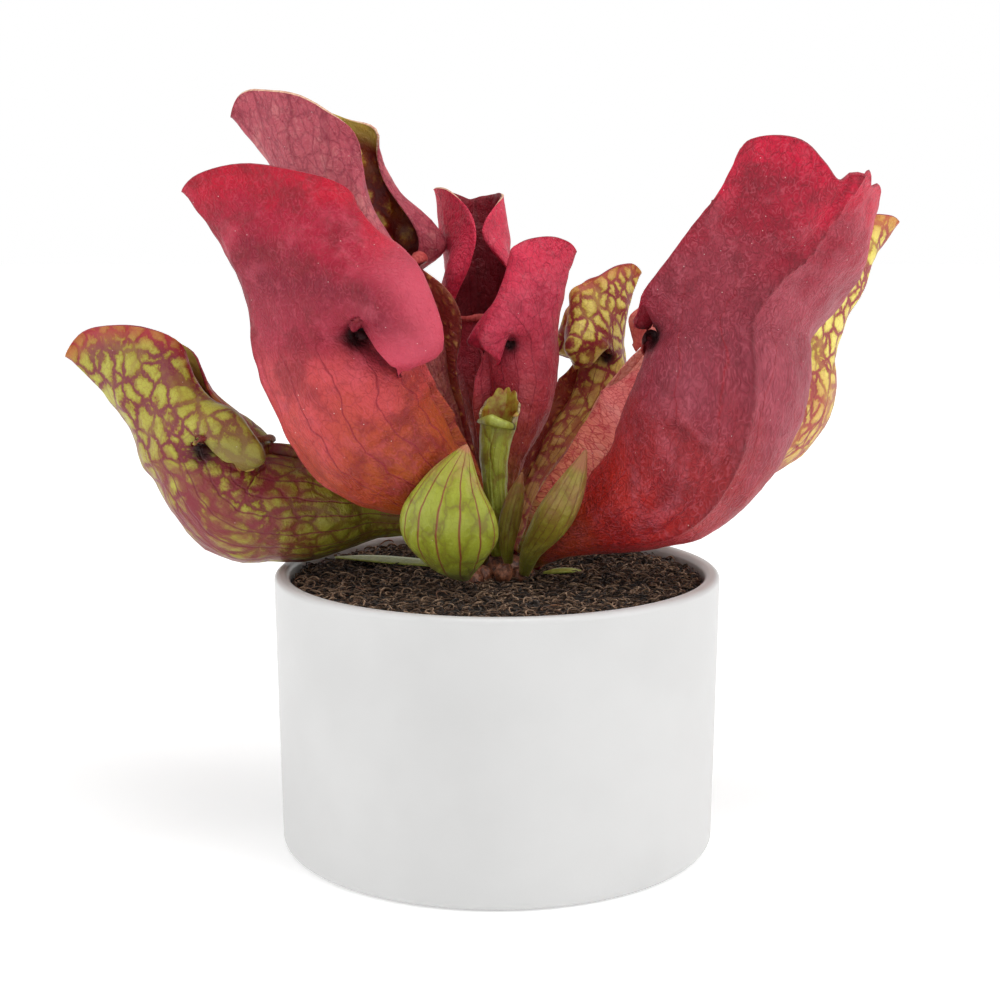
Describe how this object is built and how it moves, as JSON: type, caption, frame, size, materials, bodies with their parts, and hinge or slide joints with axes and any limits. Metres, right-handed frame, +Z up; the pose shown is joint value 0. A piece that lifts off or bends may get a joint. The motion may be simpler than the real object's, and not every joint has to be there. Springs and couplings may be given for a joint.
{
  "type": "potted pitcher plant",
  "caption": "Low rosette of fat upright pitcher leaves with folded hoods, red and yellow-green, rising from dark soil in a plain white round pot.",
  "frame": {"origin": "centre of the pot's underside", "axes": "+Z up along the pot's axis, +X to the plant's right as seen from its front, +Y to its back"},
  "size_m": [0.2336, 0.12, 0.2011],
  "materials": {
    "pot": "white satin glaze",
    "soil": "dark damp peat with light brown fibres",
    "crown": "rough reddish brown rhizome",
    "red_leaf": "crimson, finely downy, with darker veins",
    "green_leaf": "yellow-green with a net of maroon veins",
    "young_leaf": "fresh green, smooth"
  },
  "bodies": {
    "root": {"pot": "pot", "soil": "soil", "crown": "crown", "pitcher_left_front": "red_leaf", "pitcher_left_low": "green_leaf", "pitcher_left_back": "red_leaf", "pitcher_centre_back": "red_leaf", "pitcher_centre": "red_leaf", "pitcher_yellow": "green_leaf", "pitcher_right_front": "red_leaf", "pitcher_right_back": "green_leaf", "pitcher_salmon": "red_leaf", "cut_stub": "young_leaf", "young_pitcher_round": "young_leaf", "young_pitcher_slender": "young_leaf", "young_pitcher_bud": "young_leaf", "ground_leaf_left": "young_leaf", "ground_leaf_right": "young_leaf"}
  },
  "joints": []
}
